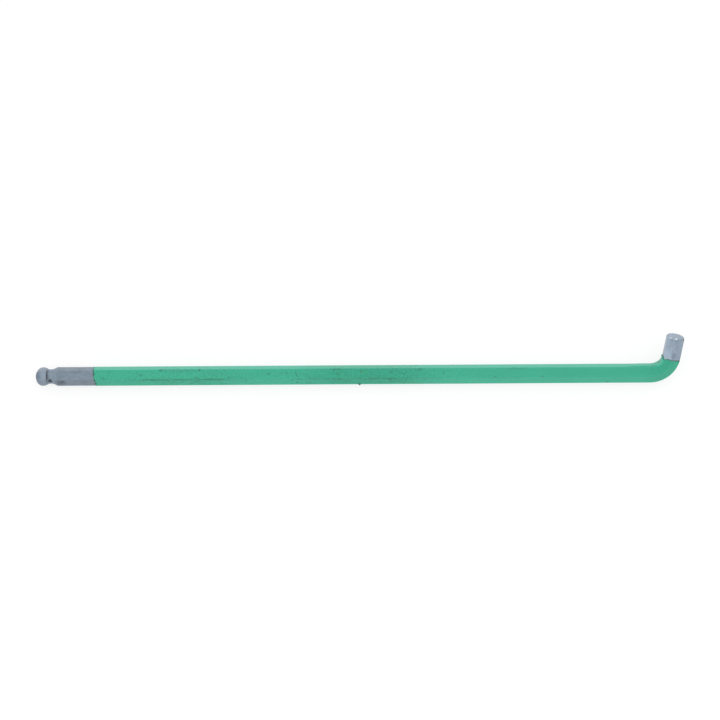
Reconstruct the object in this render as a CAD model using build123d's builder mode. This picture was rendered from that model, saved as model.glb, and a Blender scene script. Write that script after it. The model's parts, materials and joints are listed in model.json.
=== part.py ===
from build123d import *

import os
from math import cos, degrees, radians, sin, sqrt, tan

# Ball-end hex key: one drawn and bent hexagonal bar with a ball end and a thin colour coating.
#
# Millimetres and degrees, +Z up. The long arm lies along X with its ball towards -X, and the key
# rests on one flat, so the short arm rises sideways. The origin is on that flat, under the middle
# of the long arm.

os.makedirs("parts", exist_ok=True)

# The bar and its bend
across_flats = 4.0
corner_radius = 0.25  # drawn edges of the hexagonal bar
long_length = 151.74  # ball tip to the crossing of the two arm axes
short_length = 9.5  # crossing of the arm axes to the short end
arm_angle = 99.0  # between the arms, so the L is slightly open
bend_radius = 5.06  # at the centre line
dip_depth = 0.26  # the bar is pressed in this much inside the bend
dip_angle = 70.0  # degrees of bend over which it is

# The ball, turned to a ball first and then milled with six arched facets
ball_across_flats = 3.96
ball_corner_diameter = 4.5  # turned size, which rounds the edges between the facets
ball_arc_radius = 1.81  # arch of the facets and of the turned ball, along the arm
ball_centre = 1.80  # tip to the widest section
ball_back = 1.15  # widest section to the end of the turned ball
facet_back_length = 0.94  # widest section to the ledge where the milled facets end
ledge_angle = 60.0  # rake of that ledge from the arm's axis

# The turned neck behind the ball
neck_diameter = 3.44
neck_centre = 1.81  # widest section of the ball to the narrowest of the neck
groove_radius = 2.33  # arc from the neck up to the shoulder
shoulder_angle = 25.0  # cone that runs out over the bar

# The short end, chamfered all round
end_face_diameter = 3.8
end_chamfer_angle = 45.0

# The coating, with both ends of the bar left bare
coat_thickness = 0.05
long_bare_length = 14.12  # ball tip to the coating
short_bare_length = 5.52  # coating to the short end, along the centre line
long_lean_angle = 7.8  # slant of the coating's edge on the long arm
web_length = 5.5  # where the coating starts to thicken, before the bend
web_full_length = 2.3  # where it has thickened fully, before the bend
web_height = 0.1  # how much thicker it is there
web_lead_length = 0.08  # where its run up inside the bend starts, before the bend
web_radius = 4.7  # its run up inside the bend
web_angle = 26.0  # degrees of that run
lip_radius = 1.23  # its turn up into the lip at the coating's end
lip_lean_angle = 12.0  # how much steeper than the bar the lip gets
lip_crest_angle = 5.0  # from the lip's crest to its end
lip_crest_height = 0.27  # how far the crest stands off the bar
web_step_height = 0.01  # height of the coating's step where it starts to thicken
lip_height = 0.18  # how far the lip stands off the bar at its end
nib_radius = 0.25  # dried drop on the coating's front edge
nib_distance = 77.7  # ball tip to the drop

# Worked out from the values above
apothem = across_flats / 2
flat_width = across_flats / sqrt(3)
corner_reach = apothem / cos(radians(30)) - corner_radius * (1 / cos(radians(30)) - 1)
clear = across_flats  # cutters reach this far out from the axis
overshoot = across_flats / 4  # and this far past an end
turn = 180 - arm_angle
bend_setback = bend_radius * tan(radians(turn / 2))
short_straight = short_length - bend_setback
tip_x = -long_length / 2
bend_start = long_length / 2 - bend_setback
ball_x = tip_x + ball_centre
neck_x = ball_x + neck_centre
intrados = bend_radius - apothem  # the steel's radius inside the bend
coat_x = tip_x + long_bare_length
bend_middle = turn / 2
coat_turn = turn - degrees((short_bare_length - short_straight) / bend_radius)
coat_reach = apothem + coat_thickness
lip_angle = coat_turn + lip_lean_angle - web_angle

axis_height = coat_reach
rest_roll = 30.0  # a hexagon lies on a flat half a facet away from its bend plane
bend_plane = Plane(
    origin=(0, 0, axis_height),
    x_dir=(1, 0, 0),
    z_dir=(0, -sin(radians(rest_roll)), cos(radians(rest_roll))),
)
long_axis = Axis((0, 0, axis_height), (1, 0, 0))


def rounded_hexagon(half_width, rounding):
    """The bar's section, with a flat towards its own +X."""
    with BuildSketch() as hexagon:
        RegularPolygon(radius=half_width, side_count=6, major_radius=False, rotation=30)
        fillet(hexagon.vertices(), radius=rounding)
    return hexagon.sketch


def section_plane(x):
    """The plane across the long arm at x, turned so that its own X points into the bend."""
    return Plane(
        origin=bend_plane.from_local_coords(Vector(x, 0, 0)),
        x_dir=bend_plane.y_dir,
        z_dir=(1, 0, 0),
    )


def arc_height(x, half_width):
    """How far out the ball's arch stands at x from its widest section, where it is half_width."""
    return half_width - ball_arc_radius + sqrt(ball_arc_radius**2 - x**2)


def in_bend(radius, angle):
    """A point of the bend plane, in polar form about the centre of the bend."""
    return (
        bend_start + radius * sin(radians(angle)),
        bend_radius - radius * cos(radians(angle)),
    )


bar_hexagon = rounded_hexagon(apothem, corner_radius)
coat_hexagon = rounded_hexagon(coat_reach, corner_radius + coat_thickness)

# The steel key ---------------------------------------------------------------------------

with BuildPart() as steel_key:
    # The bar, from the ball's tip round the bend to the short end
    with BuildLine(bend_plane) as centre_line:
        Line((tip_x, 0), (bend_start, 0))
        JernArc(
            start=(bend_start, 0), tangent=(1, 0), radius=bend_radius, arc_size=turn
        )
        PolarLine(
            start=in_bend(bend_radius, turn), length=short_straight, angle=turn
        )
    with BuildSketch(section_plane(tip_x)):
        add(bar_hexagon)
    sweep(path=centre_line.wires()[0])

    # Bending presses the bar in a little inside the bend
    with BuildSketch(bend_plane):
        with BuildLine():
            dip_start = in_bend(intrados, bend_middle - dip_angle / 2)
            dip_end = in_bend(intrados, bend_middle + dip_angle / 2)
            ThreePointArc(dip_start, in_bend(intrados + dip_depth, bend_middle), dip_end)
            Polyline(dip_end, in_bend(0, 0), dip_start)
        make_face()
    extrude(amount=clear, both=True, mode=Mode.SUBTRACT)

    # Turning: the ball's outer shape, the neck and the shoulder
    with BuildSketch(bend_plane) as turning:
        with BuildLine():
            tip = (tip_x, arc_height(ball_centre, ball_corner_diameter / 2))
            back = (ball_x + ball_back, arc_height(ball_back, ball_corner_diameter / 2))
            neck = (neck_x, neck_diameter / 2)
            Line((tip_x - clear, tip[1]), tip)
            ThreePointArc(tip, (ball_x, ball_corner_diameter / 2), back)
            TangentArc(neck, back, tangent=(-1, 0))
            shoulder = JernArc(
                start=neck,
                tangent=(1, 0),
                radius=groove_radius,
                arc_size=shoulder_angle,
            )
            shoulder_end = (
                neck[0] + groove_radius * sin(radians(shoulder_angle)),
                neck[1] + groove_radius * (1 - cos(radians(shoulder_angle))),
            )
            cone_out = (
                shoulder_end[0]
                + (clear - shoulder_end[1]) / tan(radians(shoulder_angle)),
                clear,
            )
            Polyline(
                shoulder_end, cone_out, (tip_x - clear, clear), (tip_x - clear, tip[1])
            )
        make_face()
    revolve(axis=long_axis, mode=Mode.SUBTRACT)

    # Milling: six facets, arched along the arm, each ending at a small ledge
    for facet in range(6):
        with BuildSketch(bend_plane.rotated((60 * facet, 0, 0))):
            with BuildLine():
                tip = (tip_x, arc_height(ball_centre, ball_across_flats / 2))
                back = (
                    ball_x + facet_back_length,
                    arc_height(facet_back_length, ball_across_flats / 2),
                )
                ledge_out = (
                    back[0] + (clear - back[1]) / tan(radians(ledge_angle)),
                    clear,
                )
                Line((tip_x - clear, tip[1]), tip)
                ThreePointArc(tip, (ball_x, ball_across_flats / 2), back)
                Polyline(
                    back, ledge_out, (tip_x - clear, clear), (tip_x - clear, tip[1])
                )
            make_face()
        extrude(amount=clear, both=True, mode=Mode.SUBTRACT)

    # The short end's chamfer
    end_plane = Plane(
        origin=centre_line.line @ 1,
        x_dir=bend_plane.x_dir.rotate(Axis((0, 0, 0), bend_plane.z_dir), turn),
        z_dir=bend_plane.z_dir,
    )
    with BuildSketch(end_plane):
        with BuildLine():
            slope = tan(radians(end_chamfer_angle))
            face_radius = end_face_diameter / 2
            Polyline(
                (overshoot, face_radius - slope * overshoot),
                (-(clear - face_radius) / slope, clear),
                (overshoot, clear),
                close=True,
            )
        make_face()
    revolve(axis=Axis(end_plane.origin, end_plane.x_dir), mode=Mode.SUBTRACT)

steel_key.part.label = "steel_key"
export_step(steel_key.part, "parts/steel_key.step")

# The colour coating ----------------------------------------------------------------------

with BuildPart() as colour_coating:
    # The outside of an even coat, swept past both of its ends
    with BuildLine(bend_plane) as coat_line:
        Line((coat_x - apothem, 0), (bend_start, 0))
        JernArc(
            start=(bend_start, 0), tangent=(1, 0), radius=bend_radius, arc_size=turn
        )
        PolarLine(start=in_bend(bend_radius, turn), length=overshoot, angle=turn)
    with BuildSketch(section_plane(coat_x - apothem)):
        add(coat_hexagon)
    sweep(path=coat_line.wires()[0])

    # A block inside the bend, cut back to the web and the lip that the coating forms there
    with BuildSketch(bend_plane):
        with Locations((bend_start - web_length, apothem)):
            Rectangle(
                web_length + intrados,
                bend_radius - apothem,
                align=(Align.MIN, Align.MIN),
            )
    extrude(amount=flat_width / 2 - corner_radius, both=True)
    with BuildSketch(bend_plane):
        with BuildLine():
            web_top = coat_reach + web_height
            swell = Polyline(
                (bend_start - web_length - overshoot, coat_reach + web_step_height),
                (bend_start - web_length, coat_reach + web_step_height),
                (bend_start - web_full_length, web_top),
                (bend_start - web_lead_length, web_top),
            )
            web = JernArc(
                start=swell @ 1, tangent=(1, 0), radius=web_radius, arc_size=web_angle
            )
            lip = JernArc(
                start=web @ 1, tangent=web % 1, radius=lip_radius, arc_size=lip_angle
            )
            crest = Vector(
                *in_bend(intrados - lip_crest_height, coat_turn - lip_crest_angle)
            )
            past_end = crest + 2 * (
                Vector(*in_bend(intrados - lip_height, coat_turn)) - crest
            )
            Polyline(
                lip @ 1,
                crest,
                past_end,
                (past_end.X, bend_radius + overshoot),
                (bend_start - web_length - overshoot, bend_radius + overshoot),
                swell @ 0,
            )
        make_face()
    extrude(amount=clear, both=True, mode=Mode.SUBTRACT)

    # A dried drop on the front edge
    with Locations((tip_x + nib_distance, -corner_reach - coat_thickness, axis_height)):
        Sphere(radius=nib_radius, rotation=(90, 0, 0))

    # Both ends are cut back to the coating's edges, and the bar leaves a thin shell
    for place, heading in (
        ((coat_x, 0), long_lean_angle),
        (in_bend(bend_radius, coat_turn), coat_turn + 180),
    ):
        split(
            bisect_by=Plane(
                origin=bend_plane.from_local_coords(Vector(*place)),
                z_dir=Vector(1, 0, 0).rotate(
                    Axis((0, 0, 0), bend_plane.z_dir), heading
                ),
            )
        )
    add(steel_key.part, mode=Mode.SUBTRACT)

colour_coating.part.label = "colour_coating"
export_step(colour_coating.part, "parts/colour_coating.step")
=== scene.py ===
"""Dresses the ball-end hex key: satin steel, a worn green coating and a white studio."""

import json
from math import acos, cos, radians, sin, tan

import bpy
from bpy.props import FloatProperty, FloatVectorProperty, PointerProperty
from mathutils import Matrix, Vector


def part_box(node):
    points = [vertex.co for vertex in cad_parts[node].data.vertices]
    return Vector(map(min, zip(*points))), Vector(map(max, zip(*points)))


bl_info = {
    "name": "Ball-End Hex Key",
    "version": (1, 0, 0),
    "blender": (4, 5, 0),
    "location": "View3D > Sidebar > Hex Key",
    "description": "Finishes the steel and the coating of a ball-end hex key, with its studio",
    "category": "Object",
}

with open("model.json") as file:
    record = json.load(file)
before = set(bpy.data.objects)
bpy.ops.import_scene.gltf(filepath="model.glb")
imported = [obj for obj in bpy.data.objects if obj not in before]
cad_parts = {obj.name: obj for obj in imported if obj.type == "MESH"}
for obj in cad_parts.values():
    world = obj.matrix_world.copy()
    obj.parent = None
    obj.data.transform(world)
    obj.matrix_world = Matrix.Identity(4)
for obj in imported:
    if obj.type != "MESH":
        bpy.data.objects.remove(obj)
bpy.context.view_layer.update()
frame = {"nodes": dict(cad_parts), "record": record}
MM = 0.001

# What the frame says about the bar, in metres
MOUNTS = {mount["name"]: mount for mount in frame["record"]["mounts"]}
SHORT_END = Vector(MOUNTS["short_hex_end"]["pos_m"])
SHORT_AXIS = Vector(MOUNTS["short_hex_end"]["axis"])
AXIS_HEIGHT = MOUNTS["ball_end"]["pos_m"][2]
TIP_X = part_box("steel_key")[0][0]
TURN = acos(SHORT_AXIS.x)
ROLL = acos(SHORT_AXIS.y / sin(TURN))  # tilt of the bend about the long arm
SHORT_LENGTH = SHORT_END.y / SHORT_AXIS.y
CORNER_X = SHORT_END.x - SHORT_AXIS.x * SHORT_LENGTH  # crossing of the two arms' axes

# Places round the bar, in degrees: 0 faces into the bend, 60 is the upper flat and 120 the front
# one, with their common edge at 90 and the upper flat's other edge at 30.
TOP_FLAT = 60
FRONT_FLAT = 120
FRONT_EDGE = 90
BACK_EDGE = 30
BACK_FLAT = 0
OUTER_EDGE = 150
LOW_EDGE = 270
UPPER_SIDE = 62  # the middle of the side on which the single marks are listed
TURNED_SUM = 172.0  # of two like places in mm along the bar, on its upper and lower sides
BARE_REACH = 2.0  # from the bar's axis to its bare flats, in mm
MARK_DEPTH = 0.8  # how far below the surface a mark reaches, in mm

# Strength of what changes along the bar: pairs of mm from the ball's tip and strength. The low
# edge has the front edge's grime too.
BAR_SPAN = 160.0
DULLNESS = (
    (0.0, 0.0),
    (60.0, 0.05),
    (66.0, 0.35),
    (71.5, 0.95),
    (87.0, 1.0),
    (91.5, 0.6),
    (97.0, 0.08),
    (118.0, 0.08),
    (126.0, 0.22),
    (145.0, 0.3),
    (148.5, 0.75),
    (154.0, 0.75),
)
SPECKS = (
    (16.0, 0.5),
    (20.0, 0.42),
    (30.0, 0.92),
    (46.0, 0.88),
    (50.0, 0.35),
    (60.0, 0.35),
    (66.0, 0.7),
    (90.0, 0.9),
    (95.0, 0.4),
    (104.0, 0.18),
    (125.0, 0.06),
    (160.0, 0.06),
)
FRONT_EDGE_GRIME = (
    (24.5, 0.0),
    (25.8, 0.9),
    (28.4, 0.9),
    (29.2, 0.6),
    (39.0, 0.6),
    (41.3, 0.80),
    (43.6, 0.85),
    (46.5, 0.75),
    (47.5, 0.1),
    (62.5, 0.1),
    (63.3, 0.7),
    (65.0, 0.4),
    (70.5, 0.3),
    (71.8, 0.8),
    (74.0, 0.75),
    (75.0, 0.2),
    (80.0, 0.6),
    (87.5, 0.75),
    (89.0, 0.25),
    (97.0, 0.25),
    (98.0, 0.0),
    (108.0, 0.0),
    (109.5, 0.25),
    (116.0, 0.2),
    (117.0, 0.0),
)
BACK_EDGE_GRIME = (
    (29.4, 0.0),
    (30.0, 1.0),
    (31.1, 1.0),
    (31.8, 0.3),
    (37.2, 0.3),
    (37.8, 0.9),
    (39.6, 1.0),
    (40.0, 0.0),
    (70.8, 0.0),
    (71.4, 0.7),
    (73.2, 0.6),
    (74.0, 0.1),
    (90.8, 0.1),
    (91.6, 0.4),
    (92.8, 0.4),
    (93.5, 0.0),
    (112.6, 0.0),
    (113.6, 0.35),
    (117.0, 0.3),
    (118.0, 0.0),
)

# Marks on the coating: mm from the ball's tip, place round the bar, half length and half width in
# mm, slant in degrees, strength. The lower side has the same marks, turned over.
COATING_MARKS = (
    (16.4, 86, 0.45, 0.20, 0, 0.4),
    (16.9, 119, 0.35, 0.25, 20, 0.35),
    (17.8, 121, 0.30, 0.25, 0, 0.3),
    (23.8, 92, 0.30, 0.22, 0, 0.3),
    (24.9, 120, 0.30, 0.28, 0, 0.3),
    (25.4, 66, 0.38, 0.30, 0, 0.45),
    (26.0, 103, 0.28, 0.25, 0, 0.45),
    (30.4, 137, 0.40, 0.15, 0, 0.3),
    (32.3, 88, 0.22, 0.40, 0, 0.35),
    (33.2, 44, 0.10, 0.80, 0, 0.3),
    (33.4, 109, 0.28, 0.28, 0, 0.4),
    (35.0, 48, 0.35, 0.30, 0, 0.25),
    (35.3, 111, 0.18, 0.50, 0, 0.5),
    (37.7, 128, 0.35, 0.22, 0, 0.45),
    (38.5, 83, 0.50, 0.22, 0, 0.45),
    (38.5, 111, 0.40, 0.28, 0, 0.45),
    (39.4, 34, 0.30, 0.26, 0, 0.8),
    (44.5, 128, 0.40, 0.22, 0, 0.3),
    (45.4, 34, 0.30, 0.25, 0, 0.35),
    (46.3, 86, 0.40, 0.22, 15, 0.45),
    (50.6, 100, 0.40, 0.30, 0, 0.5),
    (56.0, 61, 0.42, 0.25, 0, 0.45),
    (59.1, 57, 0.24, 0.24, 0, 0.4),
    (60.2, 58, 0.28, 0.26, 0, 0.5),
    (61.7, 103, 0.50, 0.25, 0, 0.4),
    (62.8, 127, 0.45, 0.25, 0, 0.65),
    (66.0, 126, 0.28, 0.24, 0, 0.65),
    (67.2, 89, 0.45, 0.18, 0, 0.3),
    (71.6, 38, 0.24, 0.55, 0, 0.45),
    (72.6, 63, 0.40, 0.28, 0, 0.3),
    (75.1, 101, 0.40, 0.25, 0, 0.3),
    # Painted shade on the coating round the dried drop
    (77.7, 143, 0.90, 0.50, 0, 0.25),
    (80.0, 93, 0.35, 0.22, 0, 0.35),
    (80.5, 59, 0.35, 0.30, 0, 0.25),
    (82.6, 130, 0.35, 0.25, 0, 0.5),
    (85.0, 108, 0.42, 0.28, 0, 0.55),
    (85.2, 52, 0.34, 0.26, 0, 0.4),
    (85.5, 124, 0.30, 0.22, 0, 0.45),
    (86.2, 101, 0.35, 0.28, 0, 0.45),
    (87.2, 118, 0.32, 0.25, 0, 0.4),
    (91.5, -26, 0.45, 0.20, 0, 0.35),
    (92.1, 38, 0.55, 0.28, 0, 0.4),
    (97.8, 60, 0.13, 0.75, 0, 0.5),
    (100.0, -23, 0.65, 0.18, 0, 0.45),
    (110.1, 87, 0.30, 0.22, 0, 0.4),
    (121.5, 86, 0.42, 0.16, 0, 0.5),
    (137.1, 138, 0.35, 0.25, 0, 0.45),
)
CRACK = (62.6, 65, 0.10, 0.95, 21, 0.85)
RUST_MARK = (78.05, 50, 0.22, 0.30, 0, 0.9)
DROP_MARK = (77.7, 150, 0.50, 0.36, 0, 1.0)
RIM_MARKS = (
    (14.05, 57, 0.30, 0.36, 0, 1.0),
    (14.3, 99, 0.26, 0.36, 0, 1.0),
    (14.5, 128, 0.24, 0.36, 0, 1.0),
    (14.0, 26, 0.18, 0.25, 0, 0.7),
    (153.95, 28, 0.26, 0.34, 0, 0.6),
    (153.65, 36, 0.22, 0.26, 0, 0.6),
    (154.25, 97, 0.18, 0.60, 0, 0.5),
    (154.10, 144, 0.16, 0.30, 0, 0.9),
)

# The same for the bare steel: stains, and painted shade on the short end
STEEL_MARKS = (
    (3.60, 109, 0.55, 0.76, 20, 1.0),
    (6.1, 118, 1.45, 0.80, 0, 0.37),
    (6.5, 106, 0.60, 0.38, 0, 0.6),
    (9.6, 43, 0.90, 0.10, 0, 0.3),
    (5.9, 148, 1.00, 0.16, 0, 0.45),
    # This row and the next three are painted shade on the short end: its chamfer's dark corner and
    # a thin dark line along the chamfer's lower edge
    (159.43, 149, 0.36, 0.30, 0, 0.8),
    (159.08, 62, 0.10, 0.75, 0, 0.45),
    (159.27, 100, 0.10, 0.50, 0, 0.45),
    (159.42, 124, 0.10, 0.40, 0, 0.4),
    (7.0, -70, 1.10, 0.50, 0, 0.45),
    (3.55, -105, 0.35, 0.45, 0, 0.7),
    (11.0, 0, 0.90, 0.12, 0, 0.3),
    (156.8, -65, 0.50, 0.30, 0, 0.35),
)
# Painted glints: two highlights on the short end's chamfer, laid into the steel's colour
PAINTED_GLINTS = (
    (159.58, 47, 0.15, 0.52, 0, 1.0),
    (159.70, 88, 0.15, 0.40, 0, 0.5),
)

# How ragged the outlines of the marks are, as a share of the noise about zero
RAGGED = 0.8
RAGGED_LINE = 0.7
RAGGED_RUST = 0.5
RAGGED_FINE = 0.3
RAGGED_DROP = 0.2

RAGGED_SCALE = 3.5  # of that noise, per mm
MARK_FADE = (1.25, 0.35)  # from a mark's clear outside to its full middle, in half sizes

# Patchy noises: size in mm, the noise's values that become 0 and 1, and the stretch
DRAWN_GRAIN = (0.16, 0.3, 0.7, (12, 1, 1))
TURNED_GRAIN = (0.12, 0.3, 0.7, (1, 14, 14))
BLOTCHES = (1.1, 0.3, 0.7, (2, 1, 1))
FINE_STEEL = (0.4, 0.3, 0.7, (1, 1, 1))
CLOUDS = (2.2, 0.3, 0.7, (4, 1, 1))
FINE_COATING = (0.32, 0.3, 0.7, (1, 1, 1))
PEEL = (0.6, 0.2, 0.8, (1, 1, 1))
SPECK_NOISE = (0.34, 0.5, 0.66, (1.2, 1, 1))
SPECK_PATCHES = (2.4, 0.4, 0.6, (2, 1, 1))
LINE_BREAKS = (0.5, 0.36, 0.56, (3, 1, 1))
RIM_BREAKS = (0.8, 0.4, 0.6, (1, 1, 1))

# Spans over which a finish fades in, in mm from the ball's tip, or out where they run backwards
TURNED_SPAN = (6.2, 4.8)
COLOUR_SPAN = (60.0, 150.0)
# This span and the next two place the painted light and shade on the short arm
SHORT_ARM_SPAN = (150.0, 152.0)
NEAR_COATING_SPAN = (158.0, 154.8)
AT_COATING_SPAN = (156.4, 154.8)
VEIL_SPAN = (30.0, 20.0)
# Span of the painted shade on the ball's front
TIP_SHADE_SPAN = (1.1, 0.3)
LONG_END_SPAN = (40.0, 30.0)
SHORT_END_SPAN = (130.0, 140.0)
OUTER_LINE_SPAN = (150.0, 154.0)
SMOOTH_SPAN = (90.0, 125.0)
BEND_SPAN = (145.0, 150.0)
# Span over which the painted sheen on the front flat comes in
SHEEN_FRONT_SPAN = (40.0, 52.0)

# Bands along the bar: where each begins and ends and how far it fades, in mm
# Painted highlight round the middle of the ball, and a lighter band round the neck
BALL_BAND = (1.3, 2.6, 0.5)
NECK_BAND = (3.3, 5.2, 0.5)
LEDGE_BAND = (2.62, 3.22, 0.16)
BEND_BAND = (149.6, 153.4, 1.2)

# Sides of the bar: the place round it, and how far the surface stands out towards that place, in
# mm, where a finish begins and where it is whole
# Painted light and shade on the short arm: a highlight on the upper side, shade on the crest and
# the front, light on the inner side
HIGHLIGHT_SIDE = (TOP_FLAT - 10, 1.75, 2.0)
CREST_SHADE_SIDE = (FRONT_EDGE + 5, 1.95, 2.2)
FRONT_SHADE_SIDE = (FRONT_FLAT, 1.85, 2.0)
INNER_LIGHT_SIDE = (BACK_EDGE - 60, 0.1, 0.9)
VEIL_SIDE = (FRONT_FLAT, 1.7, 2.0)
LEDGE_SIDE = (TOP_FLAT, 1.40, 1.62)
OUTER_LINE_SIDE = (OUTER_EDGE, 2.17, 2.29)
# Sides with a painted sheen: the front flat and the back flat
SHEEN_FRONT_SIDE = (FRONT_FLAT, 1.94, 2.03)
SHEEN_BACK_SIDE = (BACK_FLAT, 1.94, 2.03)
SPARED_SIDE = (OUTER_EDGE, 2.0, 2.25)
BEND_CREST_SIDE = (BACK_EDGE, 2.0, 2.25)
SPECKED_FRONT_SIDE = (FRONT_FLAT, 1.6, 2.0)
SPECKED_LOW_SIDE = (TOP_FLAT + 180, 0.8, 1.6)
SLIVER_SIDE = (BACK_EDGE, 1.75, 2.25)
INSIDE_SIDE = (BACK_FLAT, 1.75, 2.0)

# Where rubbing begins and is whole, from 0 in the middle of a flat to 1 on an edge
STEEL_EDGES = (0.80, 0.99)
COATING_EDGES = (0.72, 0.98)

# Distances inside the coating's two ends, in mm, over which they darken or give way to steel
LONG_RIM = (0.30, 0.10)
SHORT_RIM = (0.20, 0.04)
END_RAGGEDNESS = 0.2
END_NOISE_SCALE = 2.2  # per mm
SLIVER_WIDTH = 0.5  # of the sliver that has come off beside the lip
SLIVER_EDGE = (0.0, -0.05)
# Painted shadow on the steel just outside the coating's ends, over these distances in mm
SHADOW_BY_LONG_RIM = (-0.22, 0.0)
SHADOW_BY_SHORT_RIM = (-0.16, 0.0)
DROP_HEIGHT = 0.22  # of the dried drop above the coating

# Strengths of the steel's finish, and of the painted light and shade on it
STEEL_SWING = 0.16  # from the darkest to the lightest of each noise in its shade
# The next four are strengths of the painted light and shade on the short arm
HIGHLIGHT_STRENGTH = (0.04, 0.20)  # everywhere on the short arm, and more near the coating
CREST_SHADE_STRENGTH = (-0.08, -0.09)
FRONT_SHADE_STRENGTH = -0.09
INNER_LIGHT_STRENGTH = 0.06
EDGE_RUB = 0.3
# Strength of the painted highlight round the ball, and of the lighter neck
BALL_HIGHLIGHT = 0.4
NECK_LIGHTENING = 0.2
VEIL_STRENGTH = 0.2
# Strength of the painted shade on the ball's front
TIP_SHADE_STRENGTH = 0.5
LEDGE_DARKENING = 0.44
# Strength of the painted shadow on the steel beside the coating
RIM_SHADOW = 0.45
OUTER_LINE_STRENGTH = 0.75
OUTER_LINE_SHADE = (0.7, 0.4)  # more by the fine noise, and everywhere

# Strengths of the coating's finish, and of its painted sheen
CLOUD_SHADE = (0.05, 0.96)  # how much the clouds lighten it, and its darkest
UNEVEN_COLOUR = (0.026, 0.085, 0.062)  # from the darkest to the lightest of its fine noise
UNEVEN_SMOOTH_PART = 0.25
UNEVEN_BEND = 0.9
DARKEST = (0.001, 0.001, 0.001)
SHEEN_FRONT_STRENGTH = 0.5
DULL_STRENGTH = 0.9
SPARED_SHARE = 0.6
COATING_RUB = 0.2
BEND_CREST_RUB = 0.8
SPECK_DENSITY = (0.45, 0.4)  # more on the front and below, and everywhere
LINE_STRENGTH = 0.74
LINE_HALF_WIDTH = 0.32  # in mm
LINE_HALF_LENGTH = 1000  # in mm, past both ends of the bar
LINE_OFFSET = 5  # degrees from the edge on to the flat beside it
BACK_LINE_OFFSET = 4
RIM_STRENGTH = (0.5, 0.42)  # more where the rim is unbroken, and everywhere

# Roughness that each noise and the grime and painted shade add, and what the surfaces do with
# light
GRAIN_ROUGHNESS = 0.10
FINE_ROUGHNESS = 0.06
GRIME_AND_SHADE_ROUGHNESS = 0.25
GRAIN_BUMP = 0.6
PEEL_BUMP = 0.5
FINE_PEEL = 0.4  # how much the fine noise adds to the height of the peel
PAINT_IOR = 1.58

# Stage: the way to the lamp from the short end, and what the camera aims at, in metres
LAMP_DIRECTION = (0.22, 0.63, 0.75)
AIM_FROM_TIP = 0.07784
AIM_RISE = 0.003533
SENSOR_WIDTH = 36  # in mm
NEAREST = 0.01
WHITE_LEVEL = 1.02  # of the floor in view, so that it stays white where no shadow falls


# Settings ------------------------------------------------------------------------------------


class HexKeySteel(bpy.types.PropertyGroup):
    long_colour: FloatVectorProperty(
        name="Long End",
        description="Colour of the bare steel behind the ball",
        subtype="COLOR",
        size=3,
        min=0,
        max=1,
        default=(0.222, 0.276, 0.334),
    )
    short_colour: FloatVectorProperty(
        name="Short End",
        description="Colour of the bare steel of the short arm",
        subtype="COLOR",
        size=3,
        min=0,
        max=1,
        default=(0.315, 0.385, 0.468),
    )
    # Also the colour of the painted highlight round the ball and of the lighter neck
    edge_and_highlight_colour: FloatVectorProperty(
        name="Edges",
        description="Colour where the edges are rubbed bright",
        subtype="COLOR",
        size=3,
        min=0,
        max=1,
        default=(0.36, 0.43, 0.52),
    )
    # Colour of the two painted glints on the short end's chamfer
    glint_colour: FloatVectorProperty(
        name="Worn Spots",
        description="Colour of the two spots worn bright on the short end",
        subtype="COLOR",
        size=3,
        min=0,
        max=1,
        default=(0.60, 0.66, 0.73),
    )
    tarnish_colour: FloatVectorProperty(
        name="Tarnish",
        description="Colour of the thin veil on the front of the long end",
        subtype="COLOR",
        size=3,
        min=0,
        max=1,
        default=(0.175, 0.165, 0.200),
    )
    # Colour of the painted shade on the front of the ball, bluish
    tip_shade_colour: FloatVectorProperty(
        name="Tip",
        description="Colour of the bluish front of the ball",
        subtype="COLOR",
        size=3,
        min=0,
        max=1,
        default=(0.10, 0.15, 0.24),
    )
    # Also the colour of the painted shade and shadow on the steel
    stain_and_shade_colour: FloatVectorProperty(
        name="Stains",
        description="Colour of the grime and brown stains",
        subtype="COLOR",
        size=3,
        min=0,
        max=1,
        default=(0.055, 0.052, 0.062),
    )
    roughness: FloatProperty(
        name="Roughness",
        description="Roughness of the satin surface between its scratches",
        subtype="FACTOR",
        min=0,
        max=1,
        default=0.36,
    )
    grain_depth: FloatProperty(
        name="Grain Depth",
        description="Depth of the drawn and turned grain",
        subtype="DISTANCE",
        min=0,
        default=0.006 * MM,
    )


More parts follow.
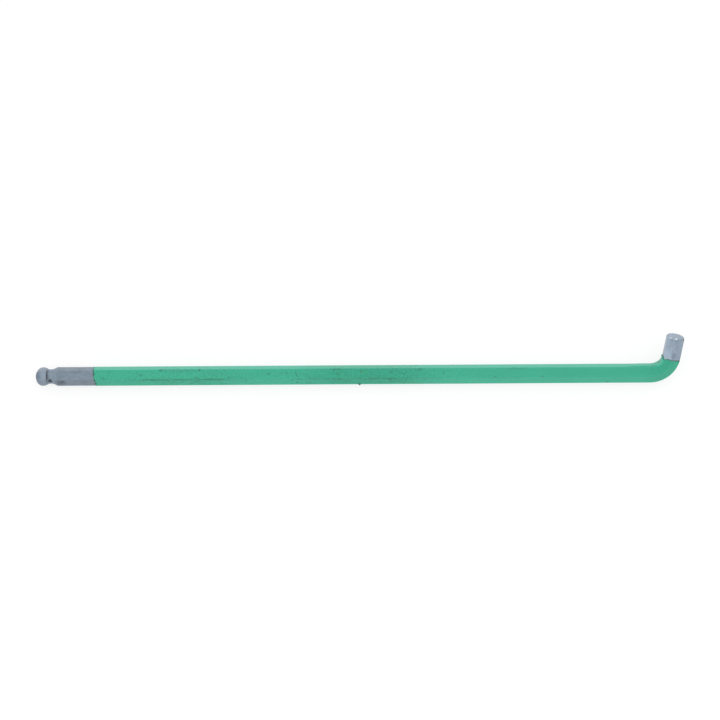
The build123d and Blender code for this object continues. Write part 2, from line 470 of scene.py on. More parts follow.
class HexKeyCoating(bpy.types.PropertyGroup):
    colour: FloatVectorProperty(
        name="Coating",
        description="Colour of the clean coating",
        subtype="COLOR",
        size=3,
        min=0,
        max=1,
        default=(0.019, 0.405, 0.243),
    )
    # Also the colour of the painted sheen on the front and back flats
    faded_and_sheen_colour: FloatVectorProperty(
        name="Faded",
        description="Colour where the coating is rubbed pale",
        subtype="COLOR",
        size=3,
        min=0,
        max=1,
        default=(0.030, 0.475, 0.315),
    )
    dull_colour: FloatVectorProperty(
        name="Dulled",
        description="Colour where handling has dulled the coating",
        subtype="COLOR",
        size=3,
        min=0,
        max=1,
        default=(0.004, 0.340, 0.197),
    )
    # Also the colour of the painted shade round the dried drop
    grime_and_shade_colour: FloatVectorProperty(
        name="Grime",
        description="Colour of the grime along its edges and in its marks",
        subtype="COLOR",
        size=3,
        min=0,
        max=1,
        default=(0.005, 0.085, 0.052),
    )
    rust_colour: FloatVectorProperty(
        name="Rust",
        description="Colour of the one reddish speck",
        subtype="COLOR",
        size=3,
        min=0,
        max=1,
        default=(0.045, 0.13, 0.05),
    )
    rim_colour: FloatVectorProperty(
        name="Rims",
        description="Colour of the coating's own two ends and of its dried drop",
        subtype="COLOR",
        size=3,
        min=0,
        max=1,
        default=(0.006, 0.030, 0.022),
    )
    chipped_colour: FloatVectorProperty(
        name="Chipped",
        description="Colour where a sliver of the coating has come off at its short end",
        subtype="COLOR",
        size=3,
        min=0,
        max=1,
        default=(0.37, 0.44, 0.51),
    )
    roughness: FloatProperty(
        name="Roughness",
        description="Roughness of the clean coating",
        subtype="FACTOR",
        min=0,
        max=1,
        default=0.36,
    )
    peel_depth: FloatProperty(
        name="Peel Depth",
        description="Depth of the coating's uneven surface",
        subtype="DISTANCE",
        min=0,
        default=0.008 * MM,
    )


class HexKeyShape(bpy.types.PropertyGroup):
    bend_radius: FloatProperty(
        name="Bend Radius",
        description="Radius of the bend at the bar's centre line",
        subtype="DISTANCE",
        min=0,
        default=5.06 * MM,
    )
    across_flats: FloatProperty(
        name="Across Flats",
        description="Width of the coated bar across its flats",
        subtype="DISTANCE",
        min=0,
        default=2 * AXIS_HEIGHT,
    )
    long_bare: FloatProperty(
        name="Bare Long End",
        description="From the ball's tip to the coating",
        subtype="DISTANCE",
        min=0,
        default=14.12 * MM,
    )
    short_bare: FloatProperty(
        name="Bare Short End",
        description="From the coating to the short end",
        subtype="DISTANCE",
        min=0,
        default=5.52 * MM,
    )
    long_slant: FloatProperty(
        name="Slant",
        description="Slant of the coating's end on the long arm",
        subtype="ANGLE",
        default=radians(7.8),
    )


class HexKeyStage(bpy.types.PropertyGroup):
    floor_size: FloatProperty(
        name="Floor Size",
        description="Width of the floor",
        subtype="DISTANCE",
        min=0,
        default=4.0,
    )
    floor_colour: FloatVectorProperty(
        name="Floor",
        description="Colour of the floor",
        subtype="COLOR",
        size=3,
        min=0,
        max=1,
        default=(0.92, 0.92, 0.92),
    )
    shadow: FloatProperty(
        name="Shadow",
        description="How strongly the key's shadow shows on the floor",
        subtype="FACTOR",
        min=0,
        max=1,
        default=0.28,
    )
    sky: FloatProperty(
        name="Sky",
        description="Strength of the white surroundings",
        min=0,
        default=0.97,
    )
    key_power: FloatProperty(
        name="Key Light",
        description="Power of the soft lamp behind the bar",
        subtype="POWER",
        min=0,
        default=0.4,
    )
    key_size: FloatProperty(
        name="Key Size",
        description="Width of the soft lamp behind the bar",
        subtype="DISTANCE",
        min=0,
        default=0.25,
    )
    key_distance: FloatProperty(
        name="Key Distance",
        description="From the bend to the lamp",
        subtype="DISTANCE",
        min=0,
        default=0.8,
    )
    lens: FloatProperty(
        name="Lens",
        description="Focal length of the camera, in millimetres",
        min=1,
        default=108.5,
    )
    camera_distance: FloatProperty(
        name="Camera Distance",
        description="From the bar to the camera",
        subtype="DISTANCE",
        min=0,
        default=0.5212,
    )
    camera_tilt: FloatProperty(
        name="Camera Tilt",
        description="Lean of the camera away from straight down",
        subtype="ANGLE",
        default=radians(10.04),
    )
    camera_roll: FloatProperty(
        name="Camera Roll",
        description="Turn of the camera about its own axis",
        subtype="ANGLE",
        default=radians(0.336),
    )


class HexKeySettings(bpy.types.PropertyGroup):
    steel: PointerProperty(type=HexKeySteel)
    coating: PointerProperty(type=HexKeyCoating)
    shape: PointerProperty(type=HexKeyShape)
    stage: PointerProperty(type=HexKeyStage)


# Node building -------------------------------------------------------------------------------


def feed(tree, socket, value):
    """Links a value that comes from a node, or sets a plain one."""
    if isinstance(value, bpy.types.NodeSocket):
        tree.links.new(value, socket)
    else:
        socket.default_value = value


def place(tree, kind, **inputs):
    """A new node with its inputs fed by name, in reading order from left to right."""
    node = tree.nodes.new(kind)
    count = len(tree.nodes)
    node.location = (220 * (count % 12), -260 * (count // 12))
    for name, value in inputs.items():
        feed(tree, node.inputs[name.replace("_", " ")], value)
    return node


def maths(tree, operation, *values):
    """One sum on plain values."""
    node = place(tree, "ShaderNodeMath")
    node.operation = operation
    for socket, value in zip(node.inputs, values):
        feed(tree, socket, value)
    return node.outputs[0]


def product(tree, first, *others):
    """All the values multiplied."""
    for other in others:
        first = maths(tree, "MULTIPLY", first, other)
    return first


def total(tree, first, *others):
    """All the values added."""
    for other in others:
        first = maths(tree, "ADD", first, other)
    return first


def greatest(tree, first, *others):
    """The greatest of the values."""
    for other in others:
        first = maths(tree, "MAXIMUM", first, other)
    return first


def scaled(tree, value, scale, offset):
    """A value times a scale, plus an offset."""
    return maths(tree, "MULTIPLY_ADD", value, scale, offset)


def vector_maths(tree, operation, *values):
    """One sum on vectors."""
    node = place(tree, "ShaderNodeVectorMath")
    node.operation = operation
    for socket, value in zip(node.inputs, values):
        feed(tree, socket, value)
    return node.outputs["Value"] if operation in ("LENGTH", "DOT_PRODUCT") else node.outputs[0]


def remap(tree, value, low, high, to_low=0.0, to_high=1.0):
    """A soft ramp from one span of values to another."""
    node = place(tree, "ShaderNodeMapRange")
    node.interpolation_type = "SMOOTHSTEP"
    for name, number in (
        ("Value", value),
        ("From Min", low),
        ("From Max", high),
        ("To Min", to_low),
        ("To Max", to_high),
    ):
        feed(tree, node.inputs[name], number)
    return node.outputs[0]


def mix(tree, factor, first, second, blend="MIX"):
    """The second colour over the first."""
    node = place(tree, "ShaderNodeMix")
    node.data_type = "RGBA"
    node.blend_type = blend
    sockets = [s for s in node.inputs if s.enabled]
    for socket, value in zip(sockets, (factor, first, second)):
        feed(tree, socket, value)
    return next(s for s in node.outputs if s.enabled)


def colour(value):
    """A setting's colour as a socket wants it."""
    return (*value, 1.0)


def new_group(name, inputs, outputs):
    """An empty node group with named sockets, and the nodes that stand for its two ends."""
    tree = bpy.data.node_groups.new(name, "ShaderNodeTree")
    for label, kind, value in inputs:
        socket = tree.interface.new_socket(label, in_out="INPUT", socket_type=kind)
        socket.default_value = value
    for label, kind in outputs:
        tree.interface.new_socket(label, in_out="OUTPUT", socket_type=kind)
    return tree, tree.nodes.new("NodeGroupInput"), tree.nodes.new("NodeGroupOutput")


def use_group(tree, name, **inputs):
    """A shared effect, placed in a material with its own values."""
    node = place(tree, "ShaderNodeGroup")
    node.node_tree = bpy.data.node_groups[name]
    for label, value in inputs.items():
        feed(tree, node.inputs[label.replace("_", " ")], value)
    return node


def breakup(tree, position, size, low, high, stretch):
    """Patchy noise, from 0 to 1."""
    node = use_group(
        tree, "Breakup", Position=position, Stretch=stretch, Size=size, Low=low, High=high
    )
    return node.outputs[0]


FLOAT = "NodeSocketFloat"
VECTOR = "NodeSocketVector"


def build_bar_position(shape):
    """Where a point lies on the bar as if it were straight: mm along it, into the bend, up."""
    tree, start, end = new_group(
        "Bar position",
        [("Vector", VECTOR, (0, 0, 0))],
        [("Position", VECTOR), ("Corner", FLOAT), ("Raggedness", FLOAT)],
    )
    radius = shape.bend_radius / MM
    bend_start = CORNER_X / MM - radius * tan(TURN / 2)
    millimetres = vector_maths(
        tree,
        "MULTIPLY_ADD",
        start.outputs[0],
        (1 / MM,) * 3,
        (-bend_start, 0, -AXIS_HEIGHT / MM),
    )
    beyond = vector_maths(tree, "DOT_PRODUCT", millimetres, (1, 0, 0))
    inward = vector_maths(tree, "DOT_PRODUCT", millimetres, (0, cos(ROLL), sin(ROLL)))
    upward = vector_maths(tree, "DOT_PRODUCT", millimetres, (0, -sin(ROLL), cos(ROLL)))

    # The point is turned back about the centre of the bend by the angle that the bend has there
    from_centre = maths(tree, "SUBTRACT", inward, radius)
    angle = maths(tree, "ARCTAN2", beyond, product(tree, from_centre, -1.0))
    angle = maths(tree, "MINIMUM", greatest(tree, angle, 0.0), TURN)
    cosine = maths(tree, "COSINE", angle)
    sine = maths(tree, "SINE", angle)
    along = total(tree, product(tree, beyond, cosine), product(tree, from_centre, sine))
    along = scaled(tree, angle, radius, along)
    along = total(tree, along, bend_start - TIP_X / MM)
    sideways = product(tree, beyond, sine)
    inner = maths(tree, "SUBTRACT", product(tree, from_centre, cosine), sideways)
    inner = total(tree, inner, radius)

    # 1 on the six edges and 0 along the middle of the flats
    around = maths(tree, "ARCTAN2", upward, inner)
    ripple = maths(tree, "COSINE", product(tree, around, 6.0))
    corner = scaled(tree, ripple, -0.5, 0.5)

    joined = place(tree, "ShaderNodeCombineXYZ", X=along, Y=inner, Z=upward)
    feed(tree, end.inputs["Position"], joined.outputs[0])
    feed(tree, end.inputs["Corner"], corner)

    # Fine noise about zero, which breaks up the outlines of marks
    noise = place(
        tree,
        "ShaderNodeTexNoise",
        Vector=joined.outputs[0],
        Scale=RAGGED_SCALE,
        Detail=2.0,
    )
    raggedness = product(tree, maths(tree, "SUBTRACT", noise.outputs[0], 0.5), 2.0)
    feed(tree, end.inputs["Raggedness"], raggedness)


def build_breakup():
    """Patchy noise of a given size, stretched as asked."""
    tree, start, end = new_group(
        "Breakup",
        [
            ("Position", VECTOR, (0, 0, 0)),
            ("Stretch", VECTOR, (1, 1, 1)),
            ("Size", FLOAT, 1.0),
            ("Low", FLOAT, 0.35),
            ("High", FLOAT, 0.65),
        ],
        [("Mask", FLOAT)],
    )
    stretched = vector_maths(
        tree, "DIVIDE", start.outputs["Position"], start.outputs["Stretch"]
    )
    noise = place(
        tree,
        "ShaderNodeTexNoise",
        Vector=stretched,
        Scale=maths(tree, "DIVIDE", 1.0, start.outputs["Size"]),
        Detail=3.0,
        Roughness=0.6,
    )
    mask = remap(tree, noise.outputs[0], start.outputs["Low"], start.outputs["High"])
    feed(tree, end.inputs["Mask"], mask)


def build_mark():
    """One more mark beside those so far: an ellipsoid about a place, with a ragged outline."""
    tree, start, end = new_group(
        "Mark",
        [
            ("Position", VECTOR, (0, 0, 0)),
            ("Place", VECTOR, (0, 0, 0)),
            ("Turn", VECTOR, (0, 0, 0)),
            ("Size", VECTOR, (1, 1, 1)),
            ("Raggedness", FLOAT, 0.0),
            ("Strength", FLOAT, 1.0),
            ("So Far", FLOAT, 0.0),
        ],
        [("Mask", FLOAT)],
    )
    local = place(
        tree,
        "ShaderNodeMapping",
        Vector=start.outputs["Position"],
        Location=start.outputs["Place"],
        Rotation=start.outputs["Turn"],
        Scale=start.outputs["Size"],
    )
    local.vector_type = "TEXTURE"
    away = vector_maths(tree, "LENGTH", local.outputs[0])
    away = total(tree, start.outputs["Raggedness"], away)
    mask = product(tree, remap(tree, away, *MARK_FADE), start.outputs["Strength"])
    feed(tree, end.inputs["Mask"], greatest(tree, start.outputs["So Far"], mask))


def build_coat_ends(shape):
    """How far a point lies inside the coating's two ends, in mm."""
    tree, start, end = new_group(
        "Coating ends",
        [("Position", VECTOR, (0, 0, 0))],
        [("Long Arm", FLOAT), ("Short Arm", FLOAT)],
    )
    radius = shape.bend_radius
    setback = radius * tan(TURN / 2)
    bar_length = CORNER_X - TIP_X - setback + radius * TURN + SHORT_LENGTH - setback
    noise = place(
        tree,
        "ShaderNodeTexNoise",
        Vector=start.outputs[0],
        Scale=END_NOISE_SCALE,
        Detail=2.0,
    )
    ragged = product(tree, maths(tree, "SUBTRACT", noise.outputs[0], 0.5), END_RAGGEDNESS)
    slanted = vector_maths(
        tree,
        "DOT_PRODUCT",
        start.outputs[0],
        (1, tan(shape.long_slant), 0),
    )
    long_arm = maths(tree, "SUBTRACT", slanted, shape.long_bare / MM)
    parts = place(tree, "ShaderNodeSeparateXYZ", Vector=start.outputs[0])
    short_arm = maths(
        tree, "SUBTRACT", (bar_length - shape.short_bare) / MM, parts.outputs[0]
    )
    feed(tree, end.inputs["Long Arm"], total(tree, long_arm, ragged))
    feed(tree, end.inputs["Short Arm"], total(tree, short_arm, ragged))


def on_bar(along, around, reach):
    """A point on the bar's surface as if it were straight, from its place round the bar."""
    flat = 60 * round(around / 60)
    out = reach / cos(radians(around - flat))
    return (along, out * cos(radians(around)), out * sin(radians(around)))


def mark_turn(around, slant=0):
    """The turn of a mark that lies flat on the bar at a place round it, slanted there."""
    lie = Matrix.Rotation(radians(around), 3, "X")
    return tuple((lie @ Matrix.Rotation(radians(slant), 3, "Y")).to_euler())


def turn_over(tree, position):
    """The point itself on the upper side, and its like on that side where it is on the lower."""
    direction = (0, cos(radians(UPPER_SIDE)), sin(radians(UPPER_SIDE)))
    height = vector_maths(tree, "DOT_PRODUCT", position, direction)
    lower = maths(tree, "LESS_THAN", height, 0.0)
    way = vector_maths(tree, "MULTIPLY_ADD", position, (-2, -2, -2), (TURNED_SUM, 0, 0))
    return vector_maths(tree, "MULTIPLY_ADD", way, lower, position)


def add_marks(tree, bar, marks, reach, ragged=RAGGED, turned=None):
    """The strongest of the marks in a list at each point, with outlines as ragged as asked."""
    raggedness = product(tree, bar.outputs["Raggedness"], ragged)
    strongest = 0.0
    for along, around, length, width, slant, strength in marks:
        node = use_group(
            tree,
            "Mark",
            Position=turned or bar.outputs["Position"],
            Place=on_bar(along, around, reach),
            Turn=mark_turn(around, slant),
            Size=(length, MARK_DEPTH, width),
            Raggedness=raggedness,
            Strength=strength,
            So_Far=strongest,
        )
        strongest = node.outputs[0]
    return strongest


def along_bar(tree, along, profile):
    """A strength that changes along the bar as one of the lists above says."""
    fraction = maths(tree, "DIVIDE", along, BAR_SPAN)
    ramp = place(tree, "ShaderNodeValToRGB", Fac=fraction)
    stops = ramp.color_ramp.elements
    while len(stops) < len(profile):
        stops.new(1.0)
    for stop, (at, strength) in zip(stops, profile):
        stop.position = at / BAR_SPAN
        stop.color = (strength, strength, strength, 1)
    return ramp.outputs[0]


def add_edge_grime(tree, bar, along, around, profile, reach):
    """A thin broken line of grime beside one edge of the bar."""
    whole = (0, around, LINE_HALF_LENGTH, LINE_HALF_WIDTH, 0, 1.0)
    line = add_marks(tree, bar, [whole], reach, RAGGED_LINE)
    broken = breakup(tree, bar.outputs["Position"], *LINE_BREAKS)
    return product(tree, along_bar(tree, along, profile), line, broken)


def facing(tree, position, around, low, high):
    """A mask for the side of the bar that faces a place round it."""
    direction = (0, cos(radians(around)), sin(radians(around)))
    return remap(tree, vector_maths(tree, "DOT_PRODUCT", position, direction), low, high)


def between(tree, value, begin, finish, fade):
    """1 between two values and 0 beyond them."""
    rise = remap(tree, value, begin - fade / 2, begin + fade / 2)
    fall = remap(tree, value, finish + fade / 2, finish - fade / 2)
    return product(tree, rise, fall)


def new_material(name):
    """An empty material with a Principled shader, and where its patterns start."""
    material = bpy.data.materials.new(name)
    material.use_nodes = True
    tree = material.node_tree
    shader = tree.nodes["Principled BSDF"]
    coordinates = place(tree, "ShaderNodeTexCoord")
    return material, tree, shader, coordinates.outputs["Object"]


def assign(node, material):
    """Puts a material in every slot of a node of the frame."""
    piece = frame["nodes"].get(node)
    if piece is None:
        raise RuntimeError("the frame has no node " + node)
    for slot in piece.material_slots:
        slot.material = material


# Operators -----------------------------------------------------------------------------------


class HEXKEY_OT_effects(bpy.types.Operator):
    """Build the node groups that both finishes share"""

    bl_idname = "hexkey.effects"
    bl_label = "Shared Effects"

    def execute(self, context):
        shape = context.scene.hex_key.shape
        build_bar_position(shape)
        build_breakup()
        build_mark()
        build_coat_ends(shape)
        return {"FINISHED"}


class HEXKEY_OT_satin_steel(bpy.types.Operator):
    """Give the bare steel its drawn and turned grain, rubbed edges and stains, with painted light,
    shade and glints
    """

    bl_idname = "hexkey.satin_steel"
    bl_label = "Satin Steel"

    def execute(self, context):
        settings = context.scene.hex_key.steel
        material, tree, shader, coordinates = new_material("satin_steel")
        bar = use_group(tree, "Bar position", Vector=coordinates)
        position = bar.outputs["Position"]
        along = place(tree, "ShaderNodeSeparateXYZ", Vector=position).outputs[0]

        # Drawn grain along the bar, turned grain round the ball and neck
        drawn = breakup(tree, position, *DRAWN_GRAIN)
        turned = breakup(tree, position, *TURNED_GRAIN)
        grain = mix(tree, remap(tree, along, *TURNED_SPAN), drawn, turned)
        blotches = breakup(tree, position, *BLOTCHES)
        fine = breakup(tree, position, *FINE_STEEL)

        ends = (colour(settings.long_colour), colour(settings.short_colour))
        base = mix(tree, remap(tree, along, *COLOUR_SPAN), *ends)
        shade = 1.0
        for noise in (grain, blotches, fine):
            shade = product(tree, scaled(tree, noise, STEEL_SWING, 1 - STEEL_SWING / 2), shade)
        # Painted light and shade on the short arm's sides
        shade = total(tree, shade, self.short_arm_light_and_shade(tree, position, along))
        base = mix(tree, 1.0, base, shade, "MULTIPLY")
        base = self.rub(tree, settings, bar, along, blotches, base)
        # This mask carries painted shade and shadow as well as stains
        grime = self.grime(tree, bar, along, blotches, fine)
        base = mix(tree, grime, base, colour(settings.stain_and_shade_colour))

        feed(tree, shader.inputs["Base Color"], base)
        shader.inputs["Metallic"].default_value = 1.0
        rough = scaled(tree, grain, GRAIN_ROUGHNESS, settings.roughness - GRAIN_ROUGHNESS / 2)
        feed(tree, shader.inputs["Roughness"], scaled(tree, grime, GRIME_AND_SHADE_ROUGHNESS, rough))
        bump = place(
            tree,
            "ShaderNodeBump",
            Strength=GRAIN_BUMP,
            Distance=settings.grain_depth,
            Height=grain,
        )
        feed(tree, shader.inputs["Normal"], bump.outputs[0])
        assign("steel_key", material)
        return {"FINISHED"}

    def short_arm_light_and_shade(self, tree, position, along):
        """Painted light and shade along the short arm: a lighter upper side and inner side, a
        darker crest and front, strongest beside the coating.
        """
        near = remap(tree, along, *NEAR_COATING_SPAN)
        streaks = []
        for side, (everywhere, more) in (
            (HIGHLIGHT_SIDE, HIGHLIGHT_STRENGTH),
            (CREST_SHADE_SIDE, CREST_SHADE_STRENGTH),
        ):
            streak = facing(tree, position, *side)
            streaks.append(product(tree, streak, scaled(tree, near, more, everywhere)))
        front = facing(tree, position, *FRONT_SHADE_SIDE)
        darker = remap(tree, along, *AT_COATING_SPAN, 0.0, FRONT_SHADE_STRENGTH)
        streaks.append(product(tree, front, darker))
        streaks.append(product(tree, facing(tree, position, *INNER_LIGHT_SIDE), INNER_LIGHT_STRENGTH))
        return product(tree, remap(tree, along, *SHORT_ARM_SPAN), total(tree, *streaks))

    def rub(self, tree, settings, bar, along, blotches, base):
        """Adds rubbed edges, a painted highlight round the ball, a lighter band round the neck,
        two painted glints, a veil of tarnish and a painted shade on the bluish tip.
        """
        position = bar.outputs["Position"]
        edges = remap(tree, bar.outputs["Corner"], *STEEL_EDGES)
        edges = product(tree, edges, blotches, EDGE_RUB)
        # A painted highlight round the ball and a lighter band round the neck, in the rubbed
        # edges' colour
        ball = product(tree, between(tree, along, *BALL_BAND), BALL_HIGHLIGHT)
        neck = product(tree, between(tree, along, *NECK_BAND), NECK_LIGHTENING)
        base = mix(tree, greatest(tree, edges, ball, neck), base, colour(settings.edge_and_highlight_colour))
        # Two painted glints on the chamfer of the short end
        worn = add_marks(tree, bar, PAINTED_GLINTS, BARE_REACH, RAGGED_FINE)
        base = mix(tree, worn, base, colour(settings.glint_colour))
        veil = facing(tree, position, *VEIL_SIDE)
        veil = product(tree, veil, remap(tree, along, *VEIL_SPAN, 0.0, VEIL_STRENGTH))
        base = mix(tree, veil, base, colour(settings.tarnish_colour))
        # Painted shade on the front of the ball
        tip = product(tree, remap(tree, along, *TIP_SHADE_SPAN), TIP_SHADE_STRENGTH)
        return mix(tree, tip, base, colour(settings.tip_shade_colour))

    def grime(self, tree, bar, along, blotches, fine):
        """Darkening in the ledge of one facet, stains and painted shade in the marks, a painted
        shadow against the coating and a dark line down an edge.
        """
        position = bar.outputs["Position"]
        ends = use_group(tree, "Coating ends", Position=position)
        # A dark band along the ledge
        ledge = between(tree, along, *LEDGE_BAND)
        ledge = product(tree, ledge, facing(tree, position, *LEDGE_SIDE), LEDGE_DARKENING)
        # Painted shadow on the steel beside the coating's ends
        by_long = remap(tree, ends.outputs["Long Arm"], *SHADOW_BY_LONG_RIM)
        by_long = product(tree, by_long, remap(tree, along, *LONG_END_SPAN))
        by_short = remap(tree, ends.outputs["Short Arm"], *SHADOW_BY_SHORT_RIM)
        by_short = product(tree, by_short, remap(tree, along, *SHORT_END_SPAN))
        by_coating = product(tree, greatest(tree, by_long, by_short), blotches, RIM_SHADOW)
        marks = add_marks(tree, bar, STEEL_MARKS, BARE_REACH)
        outer = facing(tree, position, *OUTER_LINE_SIDE)
        fade = remap(tree, along, *OUTER_LINE_SPAN, 0.0, OUTER_LINE_STRENGTH)
        outer = product(tree, outer, fade, scaled(tree, fine, *OUTER_LINE_SHADE))
        return greatest(tree, ledge, by_coating, marks, outer)


class HEXKEY_OT_colour_coating(bpy.types.Operator):
    """Give the green coating its uneven surface, rubbed edges, grime, marks and dark ends, with a
    painted sheen on two flats and a painted shade round its drop
    """

    bl_idname = "hexkey.colour_coating"
    bl_label = "Colour Coating"

    def execute(self, context):
        settings = context.scene.hex_key.coating
        reach = (context.scene.hex_key.shape.across_flats / 2) / MM
        material, tree, shader, coordinates = new_material("green_coating")
        bar = use_group(tree, "Bar position", Vector=coordinates)
        position = bar.outputs["Position"]
        along = place(tree, "ShaderNodeSeparateXYZ", Vector=position).outputs[0]
        clouds = breakup(tree, position, *CLOUDS)
        fine = breakup(tree, position, *FINE_COATING)
        peel = breakup(tree, position, *PEEL)

        base = self.paint(tree, settings, position, along, clouds, fine)
        rubbed = self.rub(tree, bar, along, clouds)
        base = mix(tree, rubbed, base, colour(settings.faded_and_sheen_colour))
        # Grime, with a painted shade round the drop
        grime = self.grime(tree, bar, along, reach)
        base = mix(tree, grime, base, colour(settings.grime_and_shade_colour))
        rust = add_marks(tree, bar, [RUST_MARK], reach, RAGGED_RUST)
        base = mix(tree, rust, base, colour(settings.rust_colour))
        rim, chipped = self.ends(tree, bar, reach)
        base = mix(tree, rim, base, colour(settings.rim_colour))
        base = mix(tree, chipped, base, colour(settings.chipped_colour))

        feed(tree, shader.inputs["Base Color"], base)
        rough = scaled(tree, fine, FINE_ROUGHNESS, settings.roughness - FINE_ROUGHNESS / 2)
        feed(tree, shader.inputs["Roughness"], scaled(tree, grime, GRIME_AND_SHADE_ROUGHNESS, rough))
        shader.inputs["IOR"].default_value = PAINT_IOR
        bump = place(
            tree,
            "ShaderNodeBump",
            Strength=PEEL_BUMP,
            Distance=settings.peel_depth,
            Height=scaled(tree, fine, FINE_PEEL, peel),
        )
        feed(tree, shader.inputs["Normal"], bump.outputs[0])
        assign("colour_coating", material)
        return {"FINISHED"}

    def paint(self, tree, settings, position, along, clouds, fine):
        """The coating's own colour: paler on two flats as a painted sheen, dulled in the middle,
        unevenly laid.
        """
        # Painted sheen: the front and back flats are made paler
        front = facing(tree, position, *SHEEN_FRONT_SIDE)
        front = product(
            tree, front, remap(tree, along, *SHEEN_FRONT_SPAN, 0.0, SHEEN_FRONT_STRENGTH)
        )
        back = facing(tree, position, *SHEEN_BACK_SIDE)
        pale = greatest(tree, front, back)
        base = mix(tree, pale, colour(settings.colour), colour(settings.faded_and_sheen_colour))
        base = mix(tree, 1.0, base, scaled(tree, clouds, *CLOUD_SHADE), "MULTIPLY")
        # The back flat is dulled less, which keeps its painted sheen light
        spared = greatest(tree, back, facing(tree, position, *SPARED_SIDE))
        kept = scaled(tree, spared, -SPARED_SHARE, 1.0)
        dull = product(tree, along_bar(tree, along, DULLNESS), DULL_STRENGTH, kept)
        base = mix(tree, dull, base, colour(settings.dull_colour))

        # The fine noise fades out along the smooth part and comes back in the bend
        uneven = greatest(
            tree,
            remap(tree, along, *SMOOTH_SPAN, 1.0, UNEVEN_SMOOTH_PART),
            remap(tree, along, *BEND_SPAN, 0.0, UNEVEN_BEND),
        )
        uneven = product(tree, maths(tree, "SUBTRACT", fine, 0.5), uneven)
        base = vector_maths(tree, "MULTIPLY_ADD", UNEVEN_COLOUR, uneven, base)
        return vector_maths(tree, "MAXIMUM", base, DARKEST)

    def rub(self, tree, bar, along, clouds):
        """Where the edges and the inside of the bend are rubbed pale."""
        edges = remap(tree, bar.outputs["Corner"], *COATING_EDGES)
        edges = product(tree, edges, clouds, COATING_RUB)
        crest = facing(tree, bar.outputs["Position"], *BEND_CREST_SIDE)
        crest = product(tree, crest, between(tree, along, *BEND_BAND), BEND_CREST_RUB)
        return greatest(tree, edges, crest)

    def grime(self, tree, bar, along, reach):
        """Specks in patches, densest on the front, grime by three edges, marks (one a painted
        shade round the drop) and a crack.
        """
        position = bar.outputs["Position"]
        specks = breakup(tree, position, *SPECK_NOISE)
        patches = breakup(tree, position, *SPECK_PATCHES)
        front = facing(tree, position, *SPECKED_FRONT_SIDE)
        below = facing(tree, position, *SPECKED_LOW_SIDE)
        density = scaled(tree, greatest(tree, front, below), *SPECK_DENSITY)
        specks = product(tree, specks, patches, along_bar(tree, along, SPECKS), density)
        lines = []
        for edge, profile in (
            (FRONT_EDGE + LINE_OFFSET, FRONT_EDGE_GRIME),
            (BACK_EDGE + BACK_LINE_OFFSET, BACK_EDGE_GRIME),
            (LOW_EDGE + LINE_OFFSET, FRONT_EDGE_GRIME),
        ):
            lines.append(add_edge_grime(tree, bar, along, edge, profile, reach))
        lines = product(tree, greatest(tree, *lines), LINE_STRENGTH)
        # One of these marks is a painted shade round the dried drop
        marks = add_marks(tree, bar, COATING_MARKS, reach, turned=turn_over(tree, position))
        crack = add_marks(tree, bar, [CRACK], reach, RAGGED_FINE)
        return greatest(tree, specks, lines, marks, crack)

    def ends(self, tree, bar, reach):
        """Dark ends, broken up, with a dark drop, and where a sliver has come off."""
        position = bar.outputs["Position"]
        ends = use_group(tree, "Coating ends", Position=position)
        long_rim = remap(tree, ends.outputs["Long Arm"], *LONG_RIM)
        sliver = facing(tree, position, *SLIVER_SIDE)
        inside = facing(tree, position, *INSIDE_SIDE)
        sliver = product(tree, sliver, scaled(tree, inside, -SLIVER_WIDTH, SLIVER_WIDTH))
        short_end = maths(tree, "SUBTRACT", ends.outputs["Short Arm"], sliver)
        rim = greatest(tree, long_rim, remap(tree, short_end, *SHORT_RIM))
        broken = breakup(tree, position, *RIM_BREAKS)
        rim = product(tree, rim, scaled(tree, broken, *RIM_STRENGTH))
        marks = add_marks(tree, bar, RIM_MARKS, reach, RAGGED_FINE)
        drop = add_marks(tree, bar, [DROP_MARK], reach + DROP_HEIGHT, RAGGED_DROP)
        return greatest(tree, rim, marks, drop), remap(tree, short_end, *SLIVER_EDGE)


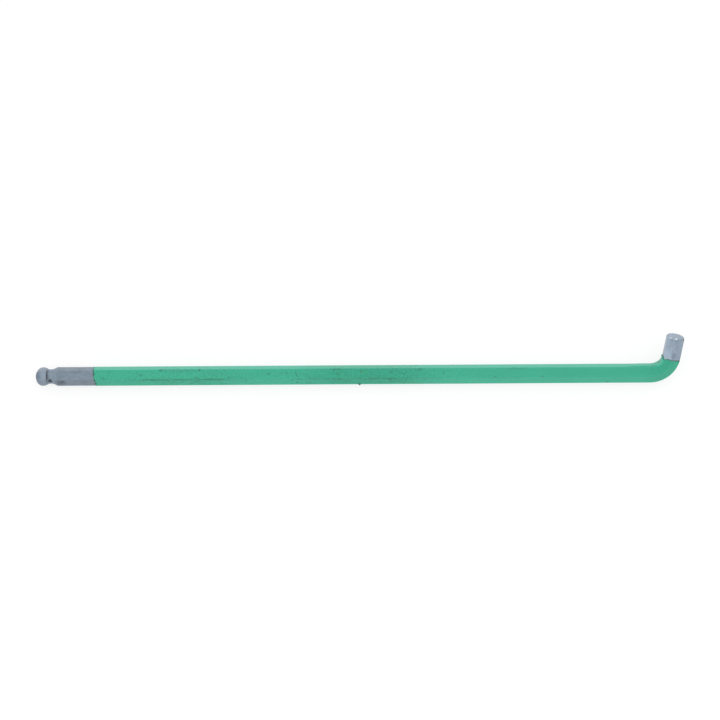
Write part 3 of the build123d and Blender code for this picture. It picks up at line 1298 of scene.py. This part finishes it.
class HEXKEY_OT_stage(bpy.types.Operator):
    """Lay the white floor, hang the soft lamp and set up the camera"""

    bl_idname = "hexkey.stage"
    bl_label = "Stage"

    def execute(self, context):
        settings = context.scene.hex_key.stage
        self.lay_floor(settings)
        self.light(context, settings)
        self.set_camera(context, settings)
        context.scene.view_settings.view_transform = "Standard"
        return {"FINISHED"}

    def lay_floor(self, settings):
        bpy.ops.object.select_all(action="DESELECT")
        bpy.ops.mesh.primitive_plane_add(size=settings.floor_size)
        floor = bpy.context.object
        floor.name = "studio_floor"
        material, tree, shader, coordinates = new_material("studio_floor")
        shader.inputs["Roughness"].default_value = 1.0
        shader.inputs["Specular IOR Level"].default_value = 0.0
        shader.inputs["Emission Color"].default_value = (1, 1, 1, 1)
        # In view the floor is white, with only a part of its light and shadow on it
        seen = self.seen(tree)
        lit = [channel * settings.shadow for channel in settings.floor_colour]
        base = mix(tree, seen, colour(settings.floor_colour), colour(lit))
        feed(tree, shader.inputs["Base Color"], base)
        lift = product(tree, seen, WHITE_LEVEL - min(lit) * settings.sky)
        feed(tree, shader.inputs["Emission Strength"], lift)
        floor.data.materials.append(material)

    def seen(self, tree):
        """1 for what the camera sees, directly, in a reflection or through glass."""
        path = place(tree, "ShaderNodeLightPath")
        return greatest(
            tree,
            path.outputs["Is Camera Ray"],
            path.outputs["Is Glossy Ray"],
            path.outputs["Is Transmission Ray"],
        )

    def light(self, context, settings):
        world = bpy.data.worlds.new("white_surroundings")
        world.use_nodes = True
        tree = world.node_tree
        background = tree.nodes["Background"]
        background.inputs["Color"].default_value = (1, 1, 1, 1)
        seen = self.seen(tree)
        strength = scaled(tree, seen, 1.0 - settings.sky, settings.sky)
        feed(tree, background.inputs["Strength"], strength)
        context.scene.world = world

        lamp = bpy.data.lights.new("soft_key", "AREA")
        lamp.energy = settings.key_power
        lamp.size = settings.key_size
        key = bpy.data.objects.new("soft_key", lamp)
        towards = Vector(LAMP_DIRECTION).normalized()
        key.location = SHORT_END + towards * settings.key_distance
        key.rotation_euler = towards.to_track_quat("Z", "Y").to_euler()
        context.scene.collection.objects.link(key)

    def set_camera(self, context, settings):
        # The camera looks down on the long arm, leaning towards the front
        tilt, roll = settings.camera_tilt, settings.camera_roll
        back = Vector((0, -sin(tilt), cos(tilt)))
        level = Vector((1, 0, 0))
        rise = back.cross(level)
        right = level * cos(roll) - rise * sin(roll)
        up = level * sin(roll) + rise * cos(roll)
        middle = Vector((TIP_X + AIM_FROM_TIP, 0, AXIS_HEIGHT)) + rise * AIM_RISE
        camera = bpy.data.cameras.new("studio_camera")
        camera.lens = settings.lens
        camera.sensor_width = SENSOR_WIDTH
        camera.clip_start = NEAREST
        stand = bpy.data.objects.new("studio_camera", camera)
        pose = Matrix((right, up, back)).transposed().to_4x4()
        pose.translation = middle + back * settings.camera_distance
        stand.matrix_world = pose
        context.scene.collection.objects.link(stand)
        context.scene.camera = stand


class HEXKEY_PT_panel(bpy.types.Panel):
    bl_idname = "HEXKEY_PT_panel"
    bl_label = "Ball-End Hex Key"
    bl_space_type = "VIEW_3D"
    bl_region_type = "UI"
    bl_category = "Hex Key"

    def draw(self, context):
        settings = context.scene.hex_key
        for operator, groups in (
            (HEXKEY_OT_effects, (settings.shape,)),
            (HEXKEY_OT_satin_steel, (settings.steel,)),
            (HEXKEY_OT_colour_coating, (settings.coating,)),
            (HEXKEY_OT_stage, (settings.stage,)),
        ):
            box = self.layout.box()
            for group in groups:
                for name in group.__annotations__:
                    box.prop(group, name)
            box.operator(operator.bl_idname)


CLASSES = (
    HexKeySteel,
    HexKeyCoating,
    HexKeyShape,
    HexKeyStage,
    HexKeySettings,
    HEXKEY_OT_effects,
    HEXKEY_OT_satin_steel,
    HEXKEY_OT_colour_coating,
    HEXKEY_OT_stage,
    HEXKEY_PT_panel,
)


def register():
    for item in CLASSES:
        bpy.utils.register_class(item)
    bpy.types.Scene.hex_key = PointerProperty(type=HexKeySettings)


def unregister():
    del bpy.types.Scene.hex_key
    for item in reversed(CLASSES):
        bpy.utils.unregister_class(item)


def main():
    register()
    bpy.ops.hexkey.effects()
    bpy.ops.hexkey.satin_steel()
    bpy.ops.hexkey.colour_coating()
    bpy.ops.hexkey.stage()


if __name__ == "__main__":
    main()
